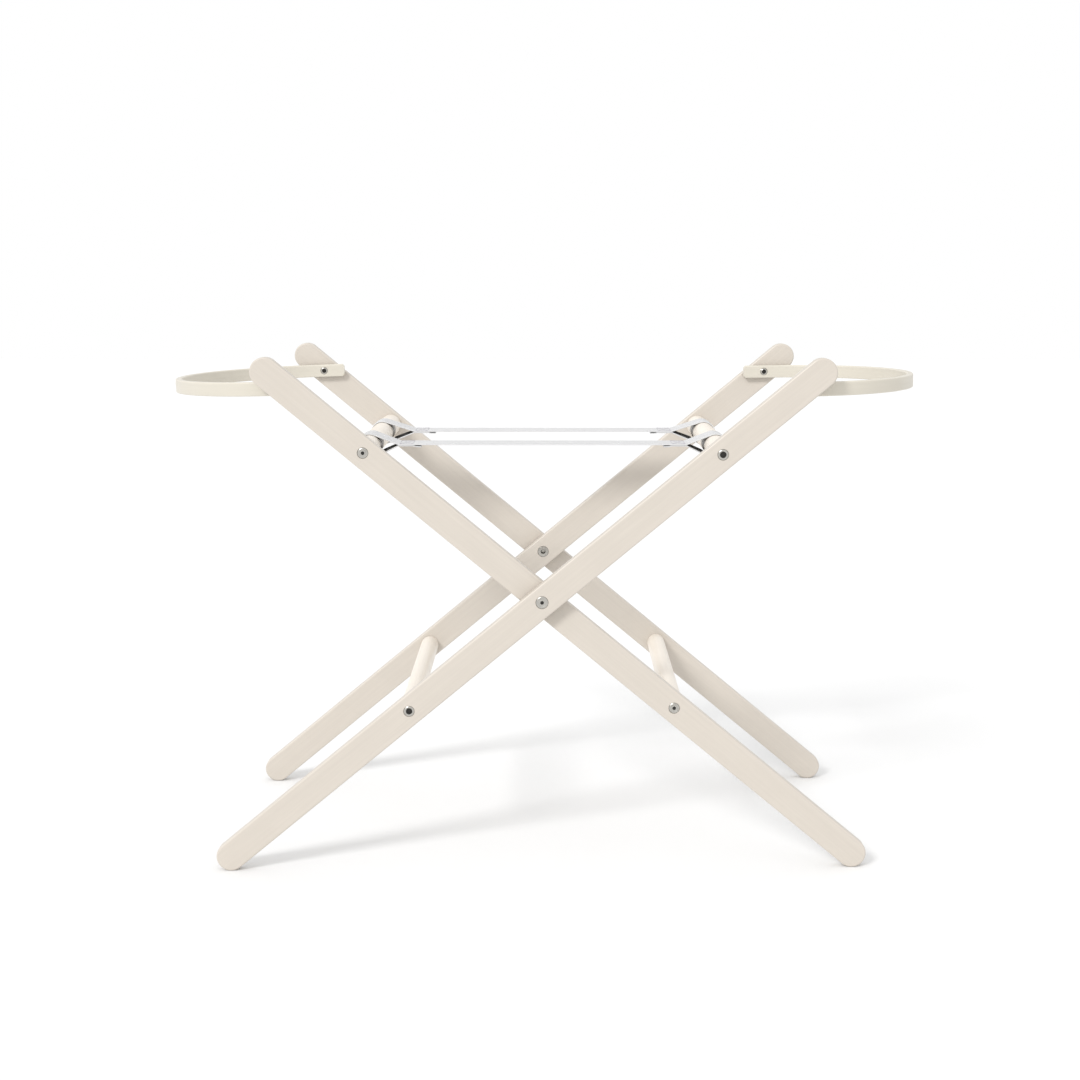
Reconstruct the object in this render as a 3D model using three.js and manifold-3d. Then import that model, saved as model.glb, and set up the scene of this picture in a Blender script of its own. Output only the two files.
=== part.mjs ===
// Folding stand for a moses basket or bassinet: two crossed wooden frames that scissor on a pair of
// pivot bolts, two webbing straps that carry the basket, and two hinged bentwood hoops around its ends.
// Millimetres, +Z up, X along the stand, Y from front to back. The origin is on the floor, midway.

import * as THREE from "three";
import { mergeVertices } from "three/addons/utils/BufferGeometryUtils.js";
import Module from "manifold-3d";

const wasm = await Module();
wasm.setup();

// ---------------------------------------------------------------- driving dimensions

const CLEARANCE = 0.3; // between pieces that touch

const LEG_WIDTH = 35;
const LEG_THICKNESS = 16.5;
const LEG_UPPER_LENGTH = 428.6; // pivot to the centre of the top rounded end
const LEG_LOWER_LENGTH = 493.9; // pivot to the centre of the bottom rounded end
const LEG_ANGLE = 39.7; // degrees above the floor
const LEG_EDGE = 2; // rounding of the long edges

const INNER_WIDTH = 385.5; // between the two legs of one frame
const WASHER_THICKNESS = 0.9; // between two pieces that turn on each other

const UPPER_BAR_DIAMETER = 28;
const UPPER_BAR_FROM_PIVOT = 278;
const LOWER_BAR_DIAMETER = 24;
const LOWER_BAR_FROM_PIVOT = 208.5;

const HOOP_SCREW_FROM_PIVOT = 396.5;
const HOOP_REACH = 166; // screw to the tip of the hoop
const HOOP_FRONT_TAIL = 14.5; // screw to the end of the hoop's front arm
const HOOP_REAR_TAIL = 28; // screw to the end of the hoop's rear arm
const HOOP_HEIGHT = 17;
const HOOP_THICKNESS = 8;
const HOOP_EDGE = 1.2;
const HOOP_CORNER = 2.5; // cut corners at the ends of the arms
const HOOP_FULLNESS = 2.07; // 2 is an ellipse, more is squarer
const LEFT_HOOP_TILT = -2; // degrees, negative droops
const RIGHT_HOOP_TILT = 1;

const STRAP_WIDTH = 50;
const STRAP_THICKNESS = 1.5;
const STRAP_SPACING = 184; // centre to centre
const FRONT_STRAP_SEAM_FROM_BAR = 36; // bar centre to where the loop's two layers meet
const REAR_STRAP_SEAM_FROM_BAR = 42.5;
const STRAP_SEAM_LENGTH = 28; // the doubled, sewn part
const STRAP_RISE = 3; // top of the strap above the bar's centre

const BAR_BOLT = { head: 12.8, headHeight: 2.3, shank: 6, socket: 4, socketDepth: 1.5, grip: 12 };
const PIVOT_BOLT = { head: 14.7, headHeight: 2.3, shank: 6, socket: 4, socketDepth: 1.5 };
const PIVOT_SLEEVE = { head: 14.7, headHeight: 2.3, shank: 9 };
const PIVOT_WASHER_DIAMETER = 20;
const HOOP_SCREW = { head: 9.4, headHeight: 1.9, shank: 5, socket: 3, socketDepth: 1.2, grip: 10.5 };
const HOOP_WASHER_DIAMETER = 12;
const BAR_INSERT = { diameter: 10, length: 13.5 };
const LEG_INSERT = { diameter: 9, length: 11.8 };

const LEG_ARC_STEPS = 9;
const BAR_STEPS = 36;
const HARDWARE_STEPS = 16;
const HOOP_STEPS = 36;
const LOOP_STEPS = 24;

// ---------------------------------------------------------------- derived layout

const RAD = Math.PI / 180;
const PIVOT_HEIGHT = LEG_LOWER_LENGTH * Math.sin(LEG_ANGLE * RAD) + LEG_WIDTH / 2;
const TURNING_GAP = WASHER_THICKNESS + 2 * CLEARANCE;
const FRAME_DEPTH = INNER_WIDTH + 2 * LEG_THICKNESS;
const STAGGER = LEG_THICKNESS + TURNING_GAP; // the left frame stands this far behind the right one
const FRONT = -(FRAME_DEPTH + STAGGER) / 2;

// side is -1 for the frame whose top is at the left and +1 for the other; inner faces point to the basket
const FRAMES = {
  left_frame: { side: -1, front: FRONT + STAGGER },
  right_frame: { side: 1, front: FRONT },
};
for (const frame of Object.values(FRAMES)) {
  frame.innerFront = frame.front + LEG_THICKNESS;
  frame.innerRear = frame.innerFront + INNER_WIDTH;
  frame.middle = frame.innerFront + INNER_WIDTH / 2;
}

// ---------------------------------------------------------------- solids

function solid(geometry) {
  const source = geometry.index ? geometry : geometry.clone();
  source.deleteAttribute("normal");
  source.deleteAttribute("uv");
  const merged = mergeVertices(source, 1e-4);
  const mesh = new wasm.Mesh({
    numProp: 3,
    vertProperties: new Float32Array(merged.attributes.position.array),
    triVerts: new Uint32Array(merged.index.array),
  });
  return new wasm.Manifold(mesh);
}

function geometryOf(manifold) {
  const mesh = manifold.getMesh();
  const geometry = new THREE.BufferGeometry();
  geometry.setAttribute("position", new THREE.BufferAttribute(new Float32Array(mesh.vertProperties), 3));
  geometry.setIndex(new THREE.BufferAttribute(new Uint32Array(mesh.triVerts), 1));
  geometry.computeVertexNormals();
  return geometry;
}

// A rod along Y from y0 to y1, centred on x, z.
function rod(diameter, y0, y1, x = 0, z = 0, steps = HARDWARE_STEPS) {
  const geometry = new THREE.CylinderGeometry(diameter / 2, diameter / 2, y1 - y0, steps);
  geometry.translate(x, (y0 + y1) / 2, z);
  return geometry;
}

// An outline in the X-Z plane, made thick along Y from y0 to y1, with rounded long edges.
function slab(shape, y0, y1, edge = 0, edgeSteps = 2) {
  const geometry = new THREE.ExtrudeGeometry(shape, {
    depth: y1 - y0 - 2 * edge,
    bevelEnabled: edge > 0,
    bevelThickness: edge,
    bevelSize: edge,
    bevelOffset: -edge,
    bevelSegments: edgeSteps,
    curveSegments: LEG_ARC_STEPS,
  });
  geometry.rotateX(Math.PI / 2);
  geometry.translate(0, y1 - edge, 0);
  return geometry;
}

// ---------------------------------------------------------------- hardware
// Each piece is turned about Y, with its head at y = 0 and its shank towards +Y.

function lathe(points) {
  const profile = points.map(([radius, y]) => new THREE.Vector2(radius, y));
  return new THREE.LatheGeometry(profile, HARDWARE_STEPS);
}

function boltLength(bolt, stack) {
  return stack + bolt.grip;
}

function bolt(size, length) {
  const head = size.head / 2;
  const shank = size.shank / 2;
  const chamfer = 0.5;
  const body = solid(
    lathe([
      [0, 0],
      [head - chamfer, 0],
      [head, chamfer],
      [head, size.headHeight],
      [shank, size.headHeight],
      [shank, length - chamfer],
      [shank - chamfer, length],
      [0, length],
    ]),
  );
  const socketRadius = size.socket / 2 / Math.cos(Math.PI / 6);
  const socket = new THREE.CylinderGeometry(socketRadius, socketRadius, 2 * size.socketDepth, 6);
  return body.subtract(solid(socket));
}

function tube(outer, inner, length) {
  return solid(rod(outer, 0, length)).subtract(solid(rod(inner, -1, length + 1)));
}

function sleeve(size, bore, length) {
  const head = size.head / 2;
  const chamfer = 0.5;
  const body = solid(
    lathe([
      [0, 0],
      [head - chamfer, 0],
      [head, chamfer],
      [head, size.headHeight],
      [size.shank / 2, size.headHeight],
      [size.shank / 2, length],
      [0, length],
    ]),
  );
  return body.subtract(solid(rod(bore, -1, length + 1)));
}

// ---------------------------------------------------------------- legs

const BAR_PLACES = [
  { name: "upper", at: UPPER_BAR_FROM_PIVOT, diameter: UPPER_BAR_DIAMETER },
  { name: "lower", at: -LOWER_BAR_FROM_PIVOT, diameter: LOWER_BAR_DIAMETER },
];

function legShape() {
  const radius = LEG_WIDTH / 2;
  const shape = new THREE.Shape();
  shape.moveTo(LEG_UPPER_LENGTH, -radius);
  shape.absarc(LEG_UPPER_LENGTH, 0, radius, -Math.PI / 2, Math.PI / 2, false);
  shape.absarc(-LEG_LOWER_LENGTH, 0, radius, Math.PI / 2, 1.5 * Math.PI, false);
  return shape;
}

// A leg along X with its outer face at y = 0 and its inner face at y = LEG_THICKNESS. The pivot's head
// is countersunk in the face named by pivotFace, and the hoop's insert opens on the inner face.
function legSolid(pivotFace) {
  let leg = solid(slab(legShape(), 0, LEG_THICKNESS, LEG_EDGE));
  const cut = (diameter, y0, y1, x) => {
    leg = leg.subtract(solid(rod(diameter, y0, y1, x)));
  };
  const wide = 2 * CLEARANCE;
  for (const { at } of BAR_PLACES) {
    cut(BAR_BOLT.shank + wide, -1, LEG_THICKNESS + 1, at);
    cut(BAR_BOLT.head + wide, -1, BAR_BOLT.headHeight + CLEARANCE, at);
  }
  cut(PIVOT_SLEEVE.shank + wide, -1, LEG_THICKNESS + 1, 0);
  const sunk = PIVOT_BOLT.headHeight + CLEARANCE;
  if (pivotFace === "outer") {
    cut(PIVOT_BOLT.head + wide, -1, sunk, 0);
  } else {
    cut(PIVOT_SLEEVE.head + wide, LEG_THICKNESS - sunk, LEG_THICKNESS + 1, 0);
  }
  const insertDepth = LEG_INSERT.length + CLEARANCE;
  cut(LEG_INSERT.diameter + wide, LEG_THICKNESS - insertDepth, LEG_THICKNESS + 1, HOOP_SCREW_FROM_PIVOT);
  return leg;
}

// ---------------------------------------------------------------- hoops

// Half-outline of the hoop's centre line in plan: x outward from the screw, y across.
function hoopCurve(halfWidth) {
  const points = [];
  for (let i = 0; i <= HOOP_STEPS; i += 1) {
    const angle = Math.PI * (i / HOOP_STEPS - 0.5);
    const power = 2 / HOOP_FULLNESS;
    const reach = HOOP_REACH - HOOP_THICKNESS / 2;
    const x = reach * Math.abs(Math.cos(angle)) ** power;
    const y = halfWidth * Math.sign(angle) * Math.abs(Math.sin(angle)) ** power;
    points.push(new THREE.Vector2(x, y));
  }
  return points;
}

// The tails are the arms' lengths behind the screws, at -Y and at +Y.
function hoopShape(outerHalfWidth, tails) {
  const centre = hoopCurve(outerHalfWidth - HOOP_THICKNESS / 2);
  const half = HOOP_THICKNESS / 2;
  const outer = [new THREE.Vector2(-tails[0], -outerHalfWidth)];
  const inner = [new THREE.Vector2(-tails[0], -outerHalfWidth + HOOP_THICKNESS)];
  centre.forEach((point, i) => {
    const last = centre.length - 1;
    const before = centre[Math.max(i - 1, 0)];
    const after = centre[Math.min(i + 1, last)];
    const along = i === 0 || i === last ? new THREE.Vector2(i ? -1 : 1, 0) : after.clone().sub(before);
    along.normalize();
    const out = new THREE.Vector2(along.y, -along.x);
    outer.push(point.clone().addScaledVector(out, half));
    inner.push(point.clone().addScaledVector(out, -half));
  });
  outer.push(new THREE.Vector2(-tails[1], outerHalfWidth));
  inner.push(new THREE.Vector2(-tails[1], outerHalfWidth - HOOP_THICKNESS));
  return new THREE.Shape([...outer, ...inner.reverse()]);
}

// Side view of a hoop with its corners cut at the end of a tail.
function hoopSide(tail) {
  const top = HOOP_HEIGHT / 2 + 1;
  const cutTop = HOOP_HEIGHT / 2 - HOOP_CORNER;
  return new THREE.Shape([
    new THREE.Vector2(-tail, -cutTop),
    new THREE.Vector2(-tail + HOOP_CORNER + 1, -top),
    new THREE.Vector2(HOOP_REACH + 5, -top),
    new THREE.Vector2(HOOP_REACH + 5, top),
    new THREE.Vector2(-tail + HOOP_CORNER + 1, top),
    new THREE.Vector2(-tail, cutTop),
  ]);
}

// The hoop with its screws' axis on Y through the origin, reaching out along +X.
function hoopSolid(tails) {
  const outerHalfWidth = INNER_WIDTH / 2 - TURNING_GAP;
  const plan = new THREE.ExtrudeGeometry(hoopShape(outerHalfWidth, tails), {
    depth: HOOP_HEIGHT - 2 * HOOP_EDGE,
    bevelEnabled: true,
    bevelThickness: HOOP_EDGE,
    bevelSize: HOOP_EDGE,
    bevelOffset: -HOOP_EDGE,
    bevelSegments: 1,
  });
  plan.translate(0, 0, HOOP_EDGE - HOOP_HEIGHT / 2);
  const end = outerHalfWidth + 5;
  const longer = tails[0] > tails[1] ? [-end, 0] : [0, end];
  const shortSide = solid(slab(hoopSide(Math.min(...tails)), -end, end));
  const longSide = solid(slab(hoopSide(Math.max(...tails)), ...longer));
  let hoop = solid(plan).intersect(shortSide.add(longSide));
  const wide = 2 * CLEARANCE;
  const sunk = HOOP_SCREW.headHeight + CLEARANCE;
  const innerFace = outerHalfWidth - HOOP_THICKNESS;
  hoop = hoop.subtract(solid(rod(HOOP_SCREW.shank + wide, -outerHalfWidth - 1, outerHalfWidth + 1)));
  hoop = hoop.subtract(solid(rod(HOOP_SCREW.head + wide, -innerFace - sunk, innerFace + sunk)));
  return hoop;
}

// ---------------------------------------------------------------- straps

// The point where a line from (x, z) touches a circle about the origin, on its upper or lower side.
function tangent(x, z, radius, upper) {
  const toPoint = Math.atan2(z, x);
  const open = Math.acos(radius / Math.hypot(x, z));
  return toPoint + (upper ? open : -open);
}

function arc(x, radius, start, end) {
  const points = [];
  for (let i = 0; i <= LOOP_STEPS; i += 1) {
    const angle = start + ((end - start) * i) / LOOP_STEPS;
    points.push(new THREE.Vector2(x + radius * Math.cos(angle), radius * Math.sin(angle)));
  }
  return points;
}

// One strap in the X-Z plane, its loops around bars at (-barX, 0) and (barX, 0).
function strapShape(barX, seam) {
  const inside = UPPER_BAR_DIAMETER / 2 + CLEARANCE;
  const outside = inside + STRAP_THICKNESS;
  const top = STRAP_RISE;
  const middle = top - STRAP_THICKNESS;
  const bottom = top - 2 * STRAP_THICKNESS;
  const tail = seam + STRAP_SEAM_LENGTH;
  const upper = tangent(seam, top, outside, true);
  const lower = tangent(seam, bottom, outside, false);
  const outline = [
    new THREE.Vector2(-barX + tail, middle),
    new THREE.Vector2(-barX + tail, bottom),
    new THREE.Vector2(-barX + seam, bottom),
    ...arc(-barX, outside, lower, upper - 2 * Math.PI),
    new THREE.Vector2(-barX + seam, top),
    new THREE.Vector2(barX - seam, top),
    ...arc(barX, outside, Math.PI - upper, Math.PI - lower - 2 * Math.PI),
    new THREE.Vector2(barX - seam, bottom),
    new THREE.Vector2(barX - tail, bottom),
    new THREE.Vector2(barX - tail, middle),
  ];
  const shape = new THREE.Shape(outline);
  const tip = seam - 2;
  const tipHeight = middle - STRAP_THICKNESS / 10;
  const innerUpper = tangent(tip, tipHeight, inside, true);
  const innerLower = tangent(tip, tipHeight, inside, false);
  const leftLoop = arc(-barX, inside, innerUpper, innerLower + 2 * Math.PI);
  const rightLoop = arc(barX, inside, -Math.PI - innerLower, Math.PI - innerUpper);
  shape.holes.push(new THREE.Path([new THREE.Vector2(-barX + tip, tipHeight), ...leftLoop]));
  shape.holes.push(new THREE.Path([new THREE.Vector2(barX - tip, tipHeight), ...rightLoop]));
  return shape;
}

// ---------------------------------------------------------------- materials

function material(color, roughness, metalness) {
  return new THREE.MeshStandardMaterial({ color, roughness, metalness });
}

const FINISH = {
  leg: () => material(0xe6ddd1, 0.5, 0),
  bar: () => material(0xf5ebde, 0.5, 0),
  hoop: () => material(0xeee8db, 0.5, 0),
  strap: () => material(0xececea, 0.85, 0),
  bolt: () => material(0xb9b6b0, 0.3, 1),
  insert: () => material(0xb08d4f, 0.4, 1),
  washer: () => material(0xf2f2ee, 0.6, 0),
};

// ---------------------------------------------------------------- assembly

const stand = new THREE.Group();

function place(parent, name, geometry, finish, y = 0, flip = false, x = 0, z = 0) {
  const mesh = new THREE.Mesh(geometry, finish());
  mesh.name = name;
  mesh.position.set(x, y, z);
  if (flip) {
    mesh.rotation.z = Math.PI;
  }
  parent.add(mesh);
  return mesh;
}

const boltStack = LEG_THICKNESS + CLEARANCE;
const barBolt = geometryOf(bolt(BAR_BOLT, boltLength(BAR_BOLT, boltStack)));
const barInsert = geometryOf(tube(BAR_INSERT.diameter, BAR_BOLT.shank + 2 * CLEARANCE, BAR_INSERT.length));
const legInsert = geometryOf(tube(LEG_INSERT.diameter, HOOP_SCREW.shank + 2 * CLEARANCE, LEG_INSERT.length));
const screwStack = HOOP_THICKNESS + TURNING_GAP;
const hoopScrew = geometryOf(bolt(HOOP_SCREW, boltLength(HOOP_SCREW, screwStack)));
const hoopWasher = geometryOf(tube(HOOP_WASHER_DIAMETER, HOOP_SCREW.shank + 2 * CLEARANCE, WASHER_THICKNESS));
const leftHoopGeometry = geometryOf(hoopSolid([HOOP_REAR_TAIL, HOOP_FRONT_TAIL]));
const rightHoopGeometry = geometryOf(hoopSolid([HOOP_FRONT_TAIL, HOOP_REAR_TAIL]));

function barGeometry(diameter) {
  const length = INNER_WIDTH - 2 * CLEARANCE;
  let bar = solid(rod(diameter, 0, length, 0, 0, BAR_STEPS));
  const hole = BAR_INSERT.diameter + 2 * CLEARANCE;
  const depth = BAR_INSERT.length + CLEARANCE;
  bar = bar.subtract(solid(rod(hole, -1, depth)));
  bar = bar.subtract(solid(rod(hole, length - depth, length + 1)));
  return geometryOf(bar);
}

for (const [name, frame] of Object.entries(FRAMES)) {
  // Local X of this group runs up the frame's legs.
  const slope = new THREE.Group();
  slope.position.set(0, 0, PIVOT_HEIGHT);
  slope.rotation.y = frame.side > 0 ? -LEG_ANGLE * RAD : LEG_ANGLE * RAD - Math.PI;
  stand.add(slope);

  // The pivot's heads sit in the outer of the two crossing legs' free faces, front and rear.
  const isFront = frame === FRAMES.right_frame;
  const frontLeg = geometryOf(legSolid(isFront ? "outer" : "inner"));
  const rearLeg = geometryOf(legSolid(isFront ? "inner" : "outer").mirror([0, 1, 0]));
  place(slope, `${name}_front_leg`, frontLeg, FINISH.leg, frame.front);
  place(slope, `${name}_rear_leg`, rearLeg, FINISH.leg, frame.innerRear + LEG_THICKNESS);

  for (const { name: level, at, diameter } of BAR_PLACES) {
    const bar = `${name}_${level}_bar`;
    place(slope, bar, barGeometry(diameter), FINISH.bar, frame.innerFront + CLEARANCE, false, at);
    const rearFace = frame.innerRear + LEG_THICKNESS;
    place(slope, `${bar}_front_bolt`, barBolt, FINISH.bolt, frame.front, false, at);
    place(slope, `${bar}_rear_bolt`, barBolt, FINISH.bolt, rearFace, true, at);
    place(slope, `${bar}_front_insert`, barInsert, FINISH.insert, frame.innerFront + CLEARANCE, false, at);
    place(slope, `${bar}_rear_insert`, barInsert, FINISH.insert, frame.innerRear - CLEARANCE, true, at);
  }

  // The hoop hangs on two screws driven outwards into inserts in the legs.
  const hoopName = name.replace("frame", "hoop");
  const screwX = HOOP_SCREW_FROM_PIVOT;
  const screwFront = frame.innerFront + TURNING_GAP + HOOP_THICKNESS;
  const screwRear = frame.innerRear - TURNING_GAP - HOOP_THICKNESS;
  place(slope, `${hoopName}_front_screw`, hoopScrew, FINISH.bolt, screwFront, true, screwX);
  place(slope, `${hoopName}_rear_screw`, hoopScrew, FINISH.bolt, screwRear, false, screwX);
  place(slope, `${hoopName}_front_insert`, legInsert, FINISH.insert, frame.innerFront, true, screwX);
  place(slope, `${hoopName}_rear_insert`, legInsert, FINISH.insert, frame.innerRear, false, screwX);
  const washerFront = frame.innerFront + CLEARANCE;
  const washerRear = frame.innerRear - CLEARANCE;
  place(slope, `${hoopName}_front_washer`, hoopWasher, FINISH.washer, washerFront, false, screwX);
  place(slope, `${hoopName}_rear_washer`, hoopWasher, FINISH.washer, washerRear, true, screwX);

  const tilt = frame.side > 0 ? RIGHT_HOOP_TILT : LEFT_HOOP_TILT;
  const hoopGeometry = frame.side > 0 ? rightHoopGeometry : leftHoopGeometry;
  const hoop = place(stand, hoopName, hoopGeometry, FINISH.hoop, frame.middle);
  const across = HOOP_SCREW_FROM_PIVOT * Math.cos(LEG_ANGLE * RAD);
  hoop.position.x = frame.side * across;
  hoop.position.z = PIVOT_HEIGHT + HOOP_SCREW_FROM_PIVOT * Math.sin(LEG_ANGLE * RAD);
  hoop.rotation.order = "YZX";
  hoop.rotation.y = frame.side > 0 ? -tilt * RAD : tilt * RAD;
  hoop.rotation.z = frame.side > 0 ? 0 : Math.PI;
}

// Pivots: a bolt from the outer face meets a sleeve nut from the inner face, with a washer between.
const crossing = 2 * LEG_THICKNESS + TURNING_GAP;
const sleeveBore = PIVOT_BOLT.shank + 2 * CLEARANCE;
const sleeveLength = crossing - PIVOT_BOLT.headHeight - 2 * CLEARANCE;
const pivotBolt = geometryOf(bolt(PIVOT_BOLT, crossing - 8));
const pivotSleeve = geometryOf(sleeve(PIVOT_SLEEVE, sleeveBore, sleeveLength));
const washerBore = PIVOT_SLEEVE.shank + 2 * CLEARANCE;
const pivotWasher = geometryOf(tube(PIVOT_WASHER_DIAMETER, washerBore, WASHER_THICKNESS));
const PIVOTS = [
  { name: "front_pivot", outer: FRAMES.right_frame.front, turned: false },
  { name: "rear_pivot", outer: FRAMES.left_frame.innerRear + LEG_THICKNESS, turned: true },
];
for (const { name, outer, turned } of PIVOTS) {
  const inward = turned ? -1 : 1;
  const washerY = outer + inward * (LEG_THICKNESS + CLEARANCE);
  place(stand, `${name}_bolt`, pivotBolt, FINISH.bolt, outer, turned, 0, PIVOT_HEIGHT);
  place(stand, `${name}_sleeve_nut`, pivotSleeve, FINISH.bolt, outer + inward * crossing, !turned, 0, PIVOT_HEIGHT);
  place(stand, `${name}_washer`, pivotWasher, FINISH.washer, washerY, turned, 0, PIVOT_HEIGHT);
}

// Straps between the two upper bars.
const barX = UPPER_BAR_FROM_PIVOT * Math.cos(LEG_ANGLE * RAD);
const barZ = PIVOT_HEIGHT + UPPER_BAR_FROM_PIVOT * Math.sin(LEG_ANGLE * RAD);
const frontStrap = slab(strapShape(barX, FRONT_STRAP_SEAM_FROM_BAR), -STRAP_WIDTH / 2, STRAP_WIDTH / 2);
const rearStrap = slab(strapShape(barX, REAR_STRAP_SEAM_FROM_BAR), -STRAP_WIDTH / 2, STRAP_WIDTH / 2);
place(stand, "front_strap", frontStrap, FINISH.strap, -STRAP_SPACING / 2, false, 0, barZ);
place(stand, "rear_strap", rearStrap, FINISH.strap, STRAP_SPACING / 2, false, 0, barZ);

export default stand;
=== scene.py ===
import math
from functools import partial

import bmesh
import bpy
from bpy.props import FloatProperty, FloatVectorProperty, PointerProperty
from mathutils import Matrix, Vector
from mathutils.kdtree import KDTree


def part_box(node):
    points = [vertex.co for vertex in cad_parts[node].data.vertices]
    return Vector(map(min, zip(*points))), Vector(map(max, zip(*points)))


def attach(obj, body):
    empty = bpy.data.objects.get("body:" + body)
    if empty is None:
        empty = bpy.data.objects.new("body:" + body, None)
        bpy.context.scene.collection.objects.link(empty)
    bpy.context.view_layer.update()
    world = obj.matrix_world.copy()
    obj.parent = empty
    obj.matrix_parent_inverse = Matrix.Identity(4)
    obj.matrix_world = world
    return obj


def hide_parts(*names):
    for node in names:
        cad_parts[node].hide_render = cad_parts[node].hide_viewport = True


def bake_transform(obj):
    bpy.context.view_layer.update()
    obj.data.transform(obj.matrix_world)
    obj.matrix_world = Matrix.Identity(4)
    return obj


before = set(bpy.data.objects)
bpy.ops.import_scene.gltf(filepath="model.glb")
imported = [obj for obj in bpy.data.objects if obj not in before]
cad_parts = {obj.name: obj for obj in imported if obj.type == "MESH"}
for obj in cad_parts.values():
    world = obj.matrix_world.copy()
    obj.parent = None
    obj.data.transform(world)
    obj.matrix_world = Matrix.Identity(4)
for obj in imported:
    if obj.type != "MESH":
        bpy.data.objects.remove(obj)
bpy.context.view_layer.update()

bl_info = {
    "name": "Folding basket stand",
    "version": (1, 0, 0),
    "blender": (4, 5, 0),
    "location": "View3D > Sidebar > Basket stand",
    "description": "Makes a folding wooden stand for a moses basket, with webbing straps and hinged hoops",
    "category": "Add Mesh",
}

FRAMES = {"left_frame": -1, "right_frame": 1}
HOOP_OF = {"left_frame": "left_hoop", "right_frame": "right_hoop"}
ENDS = ("front", "rear")
CLEARANCE = 0.0003  # left round heads, inserts and bars
BOLT_BORE = 0.0033  # radius that clears a bar bolt or a pivot bolt
SCREW_BORE = 0.0028  # radius that clears a hoop screw
SLEEVE_BORE = 0.0048  # radius that clears the pivot's sleeve nut
HEAD_DEPTH = 0.0026  # how deep the flat heads sit in the legs
HOOP_HEAD_DEPTH = 0.0022  # and in the hoops
LEG_INSERT_DEPTH = 0.0121
BAR_INSERT_DEPTH = 0.0138


def length(name, description, default):
    return FloatProperty(name=name, description=description, default=default, unit="LENGTH", precision=4)


def rotation(name, description, degrees):
    return FloatProperty(name=name, description=description, default=math.radians(degrees), unit="ROTATION")


def colour(name, description, default):
    return FloatVectorProperty(
        name=name, description=description, default=default, subtype="COLOR", size=3, min=0, max=1
    )


class StandSizes(bpy.types.PropertyGroup):
    leg_width: length("Leg width", "Width of each slat", 0.035)
    leg_edge: length("Leg edge", "Rounding of the slats' long edges", 0.002)
    upper_bar: length("Upper bar", "Diameter of the two upper bars", 0.028)
    lower_bar: length("Lower bar", "Diameter of the two lower bars", 0.024)
    hoop_height: length("Hoop height", "Height of the bent strip", 0.017)
    hoop_thickness: length("Hoop thickness", "Thickness of the bent strip", 0.008)
    hoop_edge: length("Hoop edge", "Rounding of the strip's edges", 0.0015)
    hoop_corner: length("Hoop corner", "Cut corners at the ends of the hoop's arms", 0.0025)
    hoop_front_tail: length("Hoop front tail", "From the screw to the end of the hoop's front arm", 0.0145)
    hoop_rear_tail: length("Hoop rear tail", "From the screw to the end of the hoop's rear arm", 0.028)
    hoop_reach: length("Hoop reach", "From the screw to the tip of the hoop", 0.166)
    hoop_fullness: FloatProperty(
        name="Hoop fullness",
        description="2 is an ellipse in plan, more is squarer",
        default=2.07,
        min=1.5,
        max=4,
    )
    left_hoop_tilt: rotation("Left hoop tilt", "How far the left hoop has swung up", -2)
    right_hoop_tilt: rotation("Right hoop tilt", "How far the right hoop has swung up", 1)
    strap_thickness: length("Webbing thickness", "Thickness of one layer of webbing", 0.0015)
    strap_rise: length("Strap rise", "Top of the strap above the middle of the upper bars", 0.003)
    front_seam: length("Front seam", "Middle of the bar to where the front strap's loop closes", 0.036)
    rear_seam: length("Rear seam", "Middle of the bar to where the rear strap's loop closes", 0.0425)
    seam_length: length("Seam length", "Length of the doubled, sewn part", 0.028)
    thread: length("Thread", "Thickness of the sewing thread", 0.0006)


class StandColours(bpy.types.PropertyGroup):
    leg_paint: colour("Leg paint", "Paint on the slats", (0.575, 0.525, 0.463))
    bar_paint: colour("Bar paint", "Paint on the round bars", (0.80, 0.735, 0.65))
    hoop_paint: colour("Hoop paint", "Paint on the bent hoops", (0.60, 0.562, 0.483))
    bare_wood: colour("Bare wood", "Wood that shows where the paint is worn", (0.62, 0.47, 0.30))
    webbing: colour("Webbing", "Yarn of the straps", (0.66, 0.66, 0.665))
    thread: colour("Thread", "Sewing thread", (0.47, 0.45, 0.49))
    # Painted shade: the near-black of the sheets put inside the straps' loops and between their layers at the
    # tail ends, for the deep shade there.
    shade_sheet: colour("Tape", "Dark fastening tape inside the straps' loops", (0.035, 0.035, 0.033))
    steel: colour("Steel", "Bolts and screws", (0.50, 0.485, 0.45))
    # Painted shade: near-black on the faces deep in the hex sockets, for the shade that falls in them.
    socket: colour("Sockets", "Dark insides of the hex sockets", (0.05, 0.048, 0.045))
    brass: colour("Brass", "Threaded inserts", (0.70, 0.50, 0.22))
    nylon: colour("Nylon", "Washers", (0.86, 0.85, 0.80))


class StandStage(bpy.types.PropertyGroup):
    floor: colour("Floor", "Colour of the floor", (0.82, 0.82, 0.82))
    key: FloatProperty(
        name="Key light", description="Strength of the soft light from the front left", default=1.65, min=0
    )
    key_softness: rotation("Key softness", "How wide the key light is", 14)
    surround: FloatProperty(name="Surround", description="Strength of the white surround", default=1.0, min=0)


# ---------------------------------------------------------------- mesh tools


def ring_solid(name, rings, capped=True):
    """A closed skin over rings of equal length, with flat ends or with its last ring joined to its first."""
    bm = bmesh.new()
    rows = [[bm.verts.new(point) for point in ring] for ring in rings]
    pairs = list(zip(rows, rows[1:])) + ([] if capped else [(rows[-1], rows[0])])
    for low, high in pairs:
        for i in range(len(low)):
            j = (i + 1) % len(low)
            bm.faces.new((low[i], low[j], high[j], high[i]))
    if capped:
        bm.faces.new(list(reversed(rows[0])))
        bm.faces.new(rows[-1])
    bmesh.ops.recalc_face_normals(bm, faces=bm.faces)
    mesh = bpy.data.meshes.new(name)
    bm.to_mesh(mesh)
    bm.free()
    return mesh


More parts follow.
